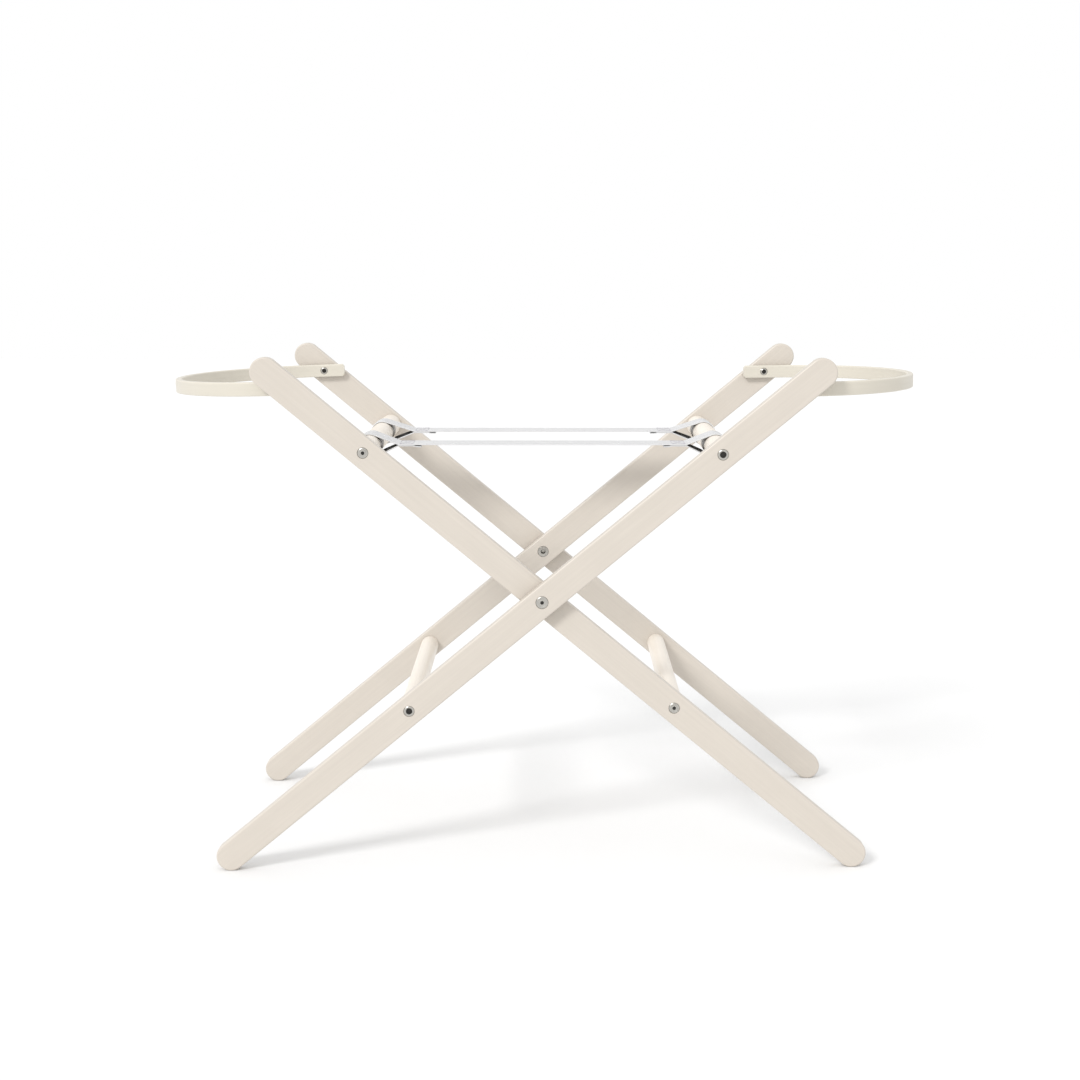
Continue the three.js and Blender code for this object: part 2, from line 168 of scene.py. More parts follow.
def turned(name, axis, profile, steps=64, capped=True):
    """A lathe-turned mesh about a line along Y through axis = (x, z). The profile is (radius, y) pairs."""
    x, z = axis
    turns = [2 * math.pi * i / steps for i in range(steps)]
    rings = [
        [Vector((x + radius * math.cos(turn), y, z + radius * math.sin(turn))) for turn in turns]
        for radius, y in profile
    ]
    return ring_solid(name, rings, capped)


def subtract(mesh, *cutters):
    """The mesh with each cutter mesh taken out of it."""
    scene = bpy.context.scene.collection
    whole = bpy.data.objects.new("whole", mesh)
    scene.objects.link(whole)
    tools = []
    for cutter in cutters:
        tool = bpy.data.objects.new("tool", cutter)
        scene.objects.link(tool)
        tools.append(tool)
        modifier = whole.modifiers.new("cut", "BOOLEAN")
        modifier.operation = "DIFFERENCE"
        modifier.solver = "EXACT"
        modifier.object = tool
    graph = bpy.context.evaluated_depsgraph_get()
    result = bpy.data.meshes.new_from_object(whole.evaluated_get(graph))
    result.name = mesh.name
    for item in [whole, *tools]:
        data = item.data
        bpy.data.objects.remove(item)
        bpy.data.meshes.remove(data)
    return result


def lay_grain(mesh, coordinate, seed=0):
    """Stores along-the-piece coordinates on the mesh, for its grain or weave. Seed moves the pattern."""
    shift = Vector((0.37 * seed, 0.0, 0.0))
    layer = mesh.attributes.new("piece_coordinate", "FLOAT_VECTOR", "POINT")
    for vertex, value in zip(mesh.vertices, layer.data):
        value.vector = coordinate(vertex.co) + shift


def finish_piece(name, mesh, material, body, nodes, sharp=40, dark=None):
    """Links a piece, smooths it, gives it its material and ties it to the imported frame.

    Dark is a second material and a test for the faces that take it.
    """
    for face in mesh.polygons:
        face.use_smooth = True
    mesh.set_sharp_from_angle(angle=math.radians(sharp))
    mesh.materials.clear()
    mesh.materials.append(material)
    if dark:
        mesh.materials.append(dark[0])
        for face in mesh.polygons:
            face.material_index = int(dark[1](face.center))
    piece = bpy.data.objects.new(name, mesh)
    bpy.context.scene.collection.objects.link(piece)
    weighted = piece.modifiers.new("even_shading", "WEIGHTED_NORMAL")
    weighted.keep_sharp = True
    if body:
        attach(piece, body)
    if nodes:
        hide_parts(*nodes)
    return piece


# ---------------------------------------------------------------- shader groups


def new_group(name, inputs, outputs):
    group = bpy.data.node_groups.new(name, "ShaderNodeTree")
    for label, kind, default in inputs:
        socket = group.interface.new_socket(label, in_out="INPUT", socket_type=kind)
        if default is not None:
            socket.default_value = default
    for label, kind in outputs:
        group.interface.new_socket(label, in_out="OUTPUT", socket_type=kind)
    return group, group.nodes.new("NodeGroupInput"), group.nodes.new("NodeGroupOutput")


def plug(tree, socket, value):
    """Links another node's output to a socket, or sets the socket to a constant."""
    if isinstance(value, bpy.types.NodeSocket):
        tree.links.new(value, socket)
    elif value is not None:
        socket.default_value = value


def plug_all(tree, node, values):
    """Plugs values into a node's sockets, named with _ for each space."""
    for label, value in values.items():
        plug(tree, node.inputs[label.replace("_", " ")], value)


def math_node(tree, operation, a, b=None, clamp=False):
    node = tree.nodes.new("ShaderNodeMath")
    node.operation = operation
    node.use_clamp = clamp
    for socket, value in zip(node.inputs, (a, b)):
        plug(tree, socket, value)
    return node.outputs[0]


def noise_node(tree, vector, scale, detail=2.0, roughness=0.5):
    node = tree.nodes.new("ShaderNodeTexNoise")
    node.inputs["Scale"].default_value = scale
    node.inputs["Detail"].default_value = detail
    node.inputs["Roughness"].default_value = roughness
    tree.links.new(vector, node.inputs["Vector"])
    return node.outputs["Fac"]


def ramp_node(tree, value, low, high, to_low=0.0, to_high=1.0):
    node = tree.nodes.new("ShaderNodeMapRange")
    node.interpolation_type = "SMOOTHSTEP"
    for label, number in (("From Min", low), ("From Max", high), ("To Min", to_low), ("To Max", to_high)):
        node.inputs[label].default_value = number
    tree.links.new(value, node.inputs["Value"])
    return node.outputs["Result"]


def stretch_node(tree, vector, scale):
    node = tree.nodes.new("ShaderNodeVectorMath")
    node.operation = "MULTIPLY"
    tree.links.new(vector, node.inputs[0])
    node.inputs[1].default_value = scale
    return node.outputs[0]


def mix_node(tree, factor, a, b):
    node = tree.nodes.new("ShaderNodeMix")
    node.data_type = "RGBA"
    colours = [value if isinstance(value, bpy.types.NodeSocket) else (*value, 1.0) for value in (a, b)]
    plug_all(tree, node, {"Factor": factor, "A": colours[0], "B": colours[1]})
    return node.outputs["Result"]


def wood_grain_group():
    """Long grain under paint: a tone from 0 to 1, a worn mask and a height."""
    group, given, out = new_group(
        "Painted wood grain",
        [("Coordinate", "NodeSocketVector", None), ("Wear", "NodeSocketFloat", 0.3)],
        [(label, "NodeSocketFloat") for label in ("Tone", "Mottle", "Worn", "Height")],
    )
    times = partial(math_node, group, "MULTIPLY")
    where = given.outputs["Coordinate"]
    long = noise_node(group, stretch_node(group, where, (6.0, 260.0, 260.0)), 1.0, 3.0, 0.6)
    fine = noise_node(group, stretch_node(group, where, (30.0, 1500.0, 1500.0)), 1.0, 2.0, 0.55)
    tone = math_node(group, "ADD", times(long, 0.65), times(fine, 0.35))
    mottle = noise_node(group, stretch_node(group, where, (14.0, 26.0, 26.0)), 1.0, 3.0, 0.5)
    speck = noise_node(group, stretch_node(group, where, (180.0, 420.0, 420.0)), 1.0, 4.0, 0.6)
    worn = times(ramp_node(group, speck, 0.60, 0.78), given.outputs["Wear"])
    height = math_node(group, "SUBTRACT", times(tone, 0.8), times(worn, 0.5))
    for label, value in (("Tone", tone), ("Mottle", mottle), ("Worn", worn), ("Height", height)):
        group.links.new(value, out.inputs[label])
    return group


def edge_group():
    """1 near the long edges of a slat or strip of the given half sizes, 0 on its faces."""
    group, given, out = new_group(
        "Slat edges",
        [
            ("Coordinate", "NodeSocketVector", None),
            ("Half Width", "NodeSocketFloat", 0.0175),
            ("Half Thickness", "NodeSocketFloat", 0.00825),
            ("Reach", "NodeSocketFloat", 0.002),
        ],
        [("Edge", "NodeSocketFloat")],
    )
    split = group.nodes.new("ShaderNodeSeparateXYZ")
    group.links.new(given.outputs["Coordinate"], split.inputs[0])
    masks = []
    for axis, label in (("Y", "Half Width"), ("Z", "Half Thickness")):
        off_middle = math_node(group, "ABSOLUTE", split.outputs[axis])
        inside = math_node(group, "SUBTRACT", given.outputs[label], off_middle)
        share = math_node(group, "DIVIDE", inside, given.outputs["Reach"])
        masks.append(math_node(group, "SUBTRACT", 1.0, share, clamp=True))
    group.links.new(math_node(group, "MULTIPLY", *masks), out.inputs["Edge"])
    return group


def weave_group():
    """Webbing with ribs across and warp yarns along: a shade that follows the yarn's height, for painted
    shade and light, a gap mask for painted shade between the yarns, and a height.
    """
    group, given, out = new_group(
        "Webbing weave",
        [
            ("Coordinate", "NodeSocketVector", None),
            ("Rib", "NodeSocketFloat", 0.0016),
            ("Yarn", "NodeSocketFloat", 0.0011),
        ],
        [("Shade", "NodeSocketFloat"), ("Gap", "NodeSocketFloat"), ("Height", "NodeSocketFloat")],
    )
    split = group.nodes.new("ShaderNodeSeparateXYZ")
    group.links.new(given.outputs["Coordinate"], split.inputs[0])
    plus = partial(math_node, group, "ADD")
    times = partial(math_node, group, "MULTIPLY")
    where = given.outputs["Coordinate"]
    wobble = noise_node(group, stretch_node(group, where, (90.0, 90.0, 90.0)), 1.0, 2.0)
    shift = times(math_node(group, "SUBTRACT", wobble, 0.5), 0.6)
    along = plus(math_node(group, "DIVIDE", split.outputs["X"], given.outputs["Rib"]), shift)
    across = plus(math_node(group, "DIVIDE", split.outputs["Y"], given.outputs["Yarn"]), shift)
    # every second column of yarn is half a rib along
    column = math_node(group, "FLOOR", across)
    offset = times(math_node(group, "MODULO", column, 2.0), math.pi)
    rib = math_node(group, "SINE", plus(times(along, 2 * math.pi), offset))
    yarn = math_node(group, "ABSOLUTE", math_node(group, "SINE", times(across, math.pi)))
    rib01 = math_node(group, "MULTIPLY_ADD", rib, 0.5)
    rib01.node.inputs[2].default_value = 0.5
    height = times(math_node(group, "POWER", yarn, 0.5), plus(times(rib01, 0.55), 0.45))
    gap = ramp_node(group, height, 0.45, 0.1)
    fuzz = noise_node(group, stretch_node(group, where, (2500.0, 2500.0, 2500.0)), 1.0, 2.0)
    tint = plus(times(height, 0.7), times(fuzz, 0.3))
    lifted = plus(height, times(fuzz, 0.25))
    for label, value in (("Shade", tint), ("Gap", gap), ("Height", lifted)):
        group.links.new(value, out.inputs[label])
    return group


def metal_wear_group():
    """Handled metal: fine turned lines, small scratches and smudges."""
    group, given, out = new_group(
        "Metal wear",
        [("Coordinate", "NodeSocketVector", None), ("Smudge", "NodeSocketFloat", 0.5)],
        [("Tarnish", "NodeSocketFloat"), ("Roughness", "NodeSocketFloat"), ("Height", "NodeSocketFloat")],
    )
    plus = partial(math_node, group, "ADD")
    times = partial(math_node, group, "MULTIPLY")
    where = given.outputs["Coordinate"]
    smudge = noise_node(group, stretch_node(group, where, (260.0, 260.0, 260.0)), 1.0, 4.0, 0.6)
    lines = noise_node(group, stretch_node(group, where, (700.0, 4200.0, 700.0)), 1.0, 2.0, 0.5)
    tarnish = times(ramp_node(group, smudge, 0.45, 0.75), given.outputs["Smudge"])
    rough = plus(plus(times(smudge, 0.22), times(lines, 0.12)), 0.12)
    for label, value in (("Tarnish", tarnish), ("Roughness", rough), ("Height", lines)):
        group.links.new(value, out.inputs[label])
    return group


GROUP_MAKERS = {
    "Painted wood grain": wood_grain_group,
    "Slat edges": edge_group,
    "Webbing weave": weave_group,
    "Metal wear": metal_wear_group,
}


def group_node(tree, name, **values):
    """A shader group, made the first time that it is asked for, placed in a material."""
    group = bpy.data.node_groups.get(name) or GROUP_MAKERS[name]()
    node = tree.nodes.new("ShaderNodeGroup")
    node.node_tree = group
    plug_all(tree, node, values)
    return node


# ---------------------------------------------------------------- materials


def start_material(name):
    """A new material, or None and the one that is already there."""
    if name in bpy.data.materials:
        return None, bpy.data.materials[name]
    made = bpy.data.materials.new(name)
    made.use_nodes = True
    return made.node_tree, made


def shade(tree, **values):
    """Plugs values into the material's main shader."""
    plug_all(tree, tree.nodes["Principled BSDF"], values)


def piece_coordinate(tree):
    node = tree.nodes.new("ShaderNodeAttribute")
    node.attribute_name = "piece_coordinate"
    return node.outputs["Vector"]


def bump(tree, height, strength, distance):
    node = tree.nodes.new("ShaderNodeBump")
    plug_all(tree, node, {"Strength": strength, "Distance": distance, "Height": height})
    shade(tree, Normal=node.outputs["Normal"])


def tinted(paint, factor):
    return tuple(min(1.0, channel * factor) for channel in paint)


def painted_wood(name, paint, wear=0.25, slat=None):
    """Satin paint over long-grained wood, a little thinner on a slat's edges, and lighter along them as a
    painted highlight.
    """
    tree, made = start_material(name)
    if tree is None:
        return made
    colours = bpy.context.scene.stand_colours
    where = piece_coordinate(tree)
    grain = group_node(tree, "Painted wood grain", Coordinate=where, Wear=wear)
    tone = ramp_node(tree, grain.outputs["Tone"], 0.3, 0.7)
    base = mix_node(tree, tone, tinted(paint, 0.955), tinted(paint, 1.02))
    patches = ramp_node(tree, grain.outputs["Mottle"], 0.35, 0.7, 0.0, 0.35)
    mottled = mix_node(tree, patches, base, tinted(paint, 0.93))
    worn = grain.outputs["Worn"]
    if slat:
        edges = group_node(tree, "Slat edges", Coordinate=where, Half_Width=slat[0], Half_Thickness=slat[1])
        edge = edges.outputs["Edge"]
        # Painted highlight: the paint is lightened along the long edges, where they catch the light.
        mottled = mix_node(tree, math_node(tree, "MULTIPLY", edge, 0.5), mottled, tinted(paint, 1.22))
        worn = math_node(tree, "MULTIPLY", worn, math_node(tree, "ADD", edge, 0.12), clamp=True)
    final = mix_node(tree, worn, mottled, colours.bare_wood[:])
    satin = ramp_node(tree, grain.outputs["Mottle"], 0.25, 0.75, 0.38, 0.5)
    shade(tree, Base_Color=final, Roughness=satin, Coat_Weight=0.15, Coat_Roughness=0.3)
    bump(tree, grain.outputs["Height"], 0.12, 0.0004)
    return made


def webbing_material():
    tree, made = start_material("woven_webbing")
    if tree is None:
        return made
    yarn = bpy.context.scene.stand_colours.webbing[:]
    weave = group_node(tree, "Webbing weave", Coordinate=piece_coordinate(tree))
    # Painted shade: the yarn is darker where the weave lies low, and darker still in the gaps between the
    # yarns.
    light = mix_node(tree, ramp_node(tree, weave.outputs["Shade"], 0.2, 0.8), tinted(yarn, 0.86), yarn)
    final = mix_node(tree, math_node(tree, "MULTIPLY", weave.outputs["Gap"], 0.5), light, tinted(yarn, 0.6))
    shade(tree, Base_Color=final, Roughness=0.9, Specular_IOR_Level=0.1)
    shade(tree, Sheen_Weight=0.02, Sheen_Roughness=0.5)
    shade(tree, Subsurface_Weight=0.2, Subsurface_Radius=(1.0, 1.0, 1.0), Subsurface_Scale=0.002)
    bump(tree, weave.outputs["Height"], 0.5, 0.0004)
    return made


def thread_material():
    tree, made = start_material("sewing_thread")
    if tree is None:
        return made
    yarn = bpy.context.scene.stand_colours.thread[:]
    coordinate = tree.nodes.new("ShaderNodeTexCoord").outputs["Object"]
    fibre = noise_node(tree, stretch_node(tree, coordinate, (5000.0, 5000.0, 5000.0)), 1.0, 2.0)
    twisted = mix_node(tree, fibre, tinted(yarn, 0.75), yarn)
    shade(tree, Base_Color=twisted, Roughness=0.7, Specular_IOR_Level=0.15)
    bump(tree, fibre, 0.3, 0.0001)
    return made


def shade_sheet_material():
    """Dark colour for the sheets of painted shade in the straps' loops, with a fine cross texture."""
    tree, made = start_material("painted_shade_sheet")
    if tree is None:
        return made
    base = bpy.context.scene.stand_colours.shade_sheet[:]
    weave = group_node(tree, "Webbing weave", Coordinate=piece_coordinate(tree), Rib=0.0012, Yarn=0.0012)
    # Painted shade and highlight: darker in the weave's hollows and lighter on its ribs.
    ribbed = mix_node(tree, weave.outputs["Shade"], tinted(base, 0.7), tinted(base, 1.6))
    shade(tree, Base_Color=ribbed, Roughness=0.8)
    bump(tree, weave.outputs["Height"], 0.3, 0.0002)
    return made


def metal(name, base, smudge=0.5):
    tree, made = start_material(name)
    if tree is None:
        return made
    coordinate = tree.nodes.new("ShaderNodeTexCoord").outputs["Object"]
    wear = group_node(tree, "Metal wear", Coordinate=coordinate, Smudge=smudge)
    tarnished = mix_node(tree, wear.outputs["Tarnish"], base, tinted(base, 0.6))
    shade(tree, Base_Color=tarnished, Roughness=wear.outputs["Roughness"], Metallic=1.0)
    bump(tree, wear.outputs["Height"], 0.1, 0.0001)
    return made


def nylon():
    tree, made = start_material("white_nylon")
    if tree is None:
        return made
    base = bpy.context.scene.stand_colours.nylon[:]
    coordinate = tree.nodes.new("ShaderNodeTexCoord").outputs["Object"]
    cloud = noise_node(tree, stretch_node(tree, coordinate, (400.0, 400.0, 400.0)), 1.0, 3.0)
    milky = mix_node(tree, cloud, tinted(base, 0.9), base)
    shade(tree, Base_Color=milky, Roughness=ramp_node(tree, cloud, 0.3, 0.7, 0.45, 0.6))
    bump(tree, cloud, 0.08, 0.0002)
    return made


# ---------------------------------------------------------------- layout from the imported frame


def centre_of(node):
    low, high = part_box(node)
    return (low + high) / 2


def axis_of(node):
    middle = centre_of(node)
    return middle.x, middle.z


def radius_of(node):
    low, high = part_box(node)
    return (high.z - low.z) / 2


# ---------------------------------------------------------------- operators


class StandLegs(bpy.types.Operator):
    """Makes the four slats, with rounded edges and sunk holes for their bolts"""

    bl_idname = "stand.legs"
    bl_label = "Legs"

    edge_steps = 5
    end_steps = 40

    def slat(self, node, side, width, edge):
        low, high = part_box(node)
        radius = width / 2
        left = Vector((low.x + radius, 0, (high.z if side < 0 else low.z) + radius * side))
        right = Vector((high.x - radius, 0, (low.z if side < 0 else high.z) - radius * side))
        along = (right - left).normalized()
        across = Vector((-along.z, 0, along.x))
        rings = []
        profile = []
        for i in range(self.edge_steps + 1):
            angle = math.pi / 2 * i / self.edge_steps
            profile.append((edge * (1 - math.sin(angle)), edge * (1 - math.cos(angle))))
        levels = [(inset, low.y + depth) for inset, depth in profile]
        levels += [(inset, high.y - depth) for inset, depth in reversed(profile)]
        for inset, y in levels:
            ring = []
            for centre, start in ((right, -math.pi / 2), (left, math.pi / 2)):
                for i in range(self.end_steps + 1):
                    angle = start + math.pi * i / self.end_steps
                    reach = radius - inset
                    point = centre + reach * (math.cos(angle) * along + math.sin(angle) * across)
                    ring.append(Vector((point.x, y, point.z)))
            rings.append(ring)
        return ring_solid(node, rings), left, along, across

    def holes(self, frame_name, end, node):
        """Cutters for the sunk heads and shanks that go through this slat."""
        low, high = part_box(node)
        outer, inner = (low.y, high.y) if end == "front" else (high.y, low.y)
        inward = 1 if end == "front" else -1
        cutters = []

        def bore(axis, face, direction, radius, depth, flare=0.0004):
            profile = [
                (radius + flare + 0.001, face - direction * 0.001),
                (radius + flare, face),
                (radius, face + direction * flare),
                (radius, face + direction * depth),
            ]
            cutters.append(turned("tool", axis, profile, 48))

        for level in ("upper", "lower"):
            bolt = f"{frame_name}_{level}_bar_{end}_bolt"
            bore(axis_of(bolt), outer, inward, radius_of(bolt) + CLEARANCE, HEAD_DEPTH)
            bore(axis_of(bolt), inner, -inward, BOLT_BORE, abs(inner - outer), 0.0002)
        pivot_outer = (frame_name == "right_frame") == (end == "front")
        pivot = f"{end}_pivot_bolt"
        face, direction = (outer, inward) if pivot_outer else (inner, -inward)
        bore(axis_of(pivot), face, direction, radius_of(pivot) + CLEARANCE, HEAD_DEPTH)
        bore(axis_of(pivot), face + direction * 0.02, -direction, SLEEVE_BORE, 0.02, 0.0)
        insert = f"{HOOP_OF[frame_name]}_{end}_insert"
        bore(axis_of(insert), inner, -inward, radius_of(insert) + CLEARANCE, LEG_INSERT_DEPTH)
        return cutters

    def execute(self, context):
        sizes = context.scene.stand_sizes
        colours = context.scene.stand_colours
        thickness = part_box("left_frame_front_leg")[1].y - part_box("left_frame_front_leg")[0].y
        paint = painted_wood("leg_paint", colours.leg_paint[:], 0.5, (sizes.leg_width / 2, thickness / 2))
        for number, (frame_name, side) in enumerate(FRAMES.items()):
            for end in ENDS:
                node = f"{frame_name}_{end}_leg"
                mesh, start, along, across = self.slat(node, side, sizes.leg_width, sizes.leg_edge)
                mesh = subtract(mesh, *self.holes(frame_name, end, node))
                middle = centre_of(node).y

                def coordinate(point, start=start, along=along, across=across, middle=middle):
                    offset = point - start
                    return Vector((offset.dot(along), offset.dot(across), point.y - middle))

                lay_grain(mesh, coordinate, 1 + 2 * number + ENDS.index(end))
                finish_piece(f"{node}_painted", mesh, paint, frame_name, [node])
        return {"FINISHED"}


class StandBars(bpy.types.Operator):
    """Makes the four round bars, hollowed at their ends for the threaded inserts"""

    bl_idname = "stand.bars"
    bl_label = "Bars"

    def execute(self, context):
        sizes = context.scene.stand_sizes
        paint = painted_wood("bar_paint", context.scene.stand_colours.bar_paint[:], 0.15)
        seed = 5
        for frame_name in FRAMES:
            for level, diameter in (("upper", sizes.upper_bar), ("lower", sizes.lower_bar)):
                node = f"{frame_name}_{level}_bar"
                low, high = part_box(node)
                x, z = axis_of(node)
                hole = radius_of(f"{node}_front_insert") + CLEARANCE
                radius = diameter / 2
                profile = [
                    (hole, low.y + BAR_INSERT_DEPTH),
                    (hole, low.y),
                    (radius - 0.0008, low.y),
                    (radius - 0.0002, low.y + 0.0002),
                    (radius, low.y + 0.0008),
                    (radius, high.y - 0.0008),
                    (radius - 0.0002, high.y - 0.0002),
                    (radius - 0.0008, high.y),
                    (hole, high.y),
                    (hole, high.y - BAR_INSERT_DEPTH),
                ]
                mesh = turned(node, (x, z), profile, 96)
                lay_grain(mesh, lambda point, x=x, z=z: Vector((point.y, point.x - x, point.z - z)), seed)
                seed += 1
                finish_piece(f"{node}_painted", mesh, paint, frame_name, [node])
        return {"FINISHED"}


class StandHoops(bpy.types.Operator):
    """Makes the two bentwood hoops, with rounded edges and sunk screw holes"""

    bl_idname = "stand.hoops"
    bl_label = "Hoops"

    curve_steps = 120

    def centre_line(self, sizes, half_width, tails):
        """Points of the strip's middle line in plan, x outward from the screw, and the way out at each.

        Tails are the arms' lengths behind the screws, at -Y and at +Y.
        """
        reach = sizes.hoop_reach - sizes.hoop_thickness / 2
        power = 2 / sizes.hoop_fullness
        curve = []
        for i in range(self.curve_steps + 1):
            angle = math.pi * (i / self.curve_steps - 0.5)
            x = reach * abs(math.cos(angle)) ** power
            y = half_width * math.copysign(abs(math.sin(angle)) ** power, angle)
            curve.append(Vector((x, y)))
        arms = [[-tail, -tail + sizes.hoop_corner, -tail * 0.6, -tail * 0.3] for tail in tails]
        count = len(arms[0])
        points = [Vector((x, -half_width)) for x in arms[0]] + curve
        points += [Vector((x, half_width)) for x in reversed(arms[1])]
        ways = []
        for i, point in enumerate(points):
            before, after = points[max(i - 1, 0)], points[min(i + 1, len(points) - 1)]
            along = (after - before).normalized()
            if i <= count:
                along = Vector((1, 0))
            if i >= len(points) - 1 - count:
                along = Vector((-1, 0))
            ways.append(Vector((along.y, -along.x)))
        return points, ways

    def along_strip(self, points, ways):
        """How far along the strip a point is, how high on it and how far out from its middle."""
        tree = KDTree(len(points))
        travelled = [0.0]
        for i, point in enumerate(points):
            tree.insert(point.to_3d(), i)
            travelled.append(travelled[-1] + (points[min(i + 1, len(points) - 1)] - point).length)
        tree.balance()

        def coordinate(point):
            _, i, _ = tree.find((point.x, point.y, 0))
            offset = point.to_2d() - points[i]
            along = Vector((-ways[i].y, ways[i].x))
            return Vector((travelled[i] + offset.dot(along), point.z, offset.dot(ways[i])))

        return coordinate

    def section(self, half_height, half_thickness, edge):
        """A rounded rectangle of (outward, up) pairs."""
        outline = []
        for corner, start in (((1, -1), -90), ((1, 1), 0), ((-1, 1), 90), ((-1, -1), 180)):
            for i in range(5):
                angle = math.radians(start + 90 * i / 4)
                outline.append(
                    (
                        corner[0] * (half_thickness - edge) + edge * math.cos(angle),
                        corner[1] * (half_height - edge) + edge * math.sin(angle),
                    )
                )
        return outline

    def execute(self, context):
        sizes = context.scene.stand_sizes
        paint = painted_wood(
            "hoop_paint",
            context.scene.stand_colours.hoop_paint[:],
            0.3,
            (sizes.hoop_height / 2, sizes.hoop_thickness / 2),
        )
        for seed, (frame_name, side) in enumerate(FRAMES.items()):
            node = HOOP_OF[frame_name]
            tilt = sizes.left_hoop_tilt if side < 0 else sizes.right_hoop_tilt
            x, z = axis_of(f"{node}_front_screw")
            low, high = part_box(node)
            middle = (low.y + high.y) / 2
            outer = (high.y - low.y) / 2
            tails = (sizes.hoop_front_tail, sizes.hoop_rear_tail)[:: 1 if side > 0 else -1]
            points, ways = self.centre_line(sizes, outer - sizes.hoop_thickness / 2, tails)
            edge = sizes.hoop_edge
            rings = []
            last = len(points) - 1
            for i, (point, way) in enumerate(zip(points, ways)):
                half = sizes.hoop_height / 2 - (sizes.hoop_corner if i in (0, last) else 0.0)
                ring = []
                for out, up in self.section(half, sizes.hoop_thickness / 2, edge):
                    flat = point + way * out
                    ring.append(Vector((flat.x, flat.y, up)))
                rings.append(ring)
            mesh = ring_solid(node, rings)
            inner = outer - sizes.hoop_thickness
            head = radius_of(f"{node}_front_screw") + CLEARANCE
            for way in (-1, 1):
                profile = [
                    (SCREW_BORE, way * (outer + 0.001)),
                    (SCREW_BORE, way * (inner + HOOP_HEAD_DEPTH)),
                    (head, way * (inner + HOOP_HEAD_DEPTH)),
                    (head, way * (inner + 0.0003)),
                    (head + 0.0003, way * inner),
                    (head + 0.0013, way * (inner - 0.001)),
                ]
                mesh = subtract(mesh, turned("tool", (0, 0), profile, 48))
            lay_grain(mesh, self.along_strip(points, ways), 9 + seed)
            turn = Matrix.Rotation(-tilt if side > 0 else tilt, 4, "Y")
            flip = Matrix.Identity(4) if side > 0 else Matrix.Rotation(math.pi, 4, "Z")
            mesh.transform(Matrix.Translation((x, middle, z)) @ turn @ flip)
            finish_piece(f"{node}_painted", mesh, paint, node, [node])
        return {"FINISHED"}


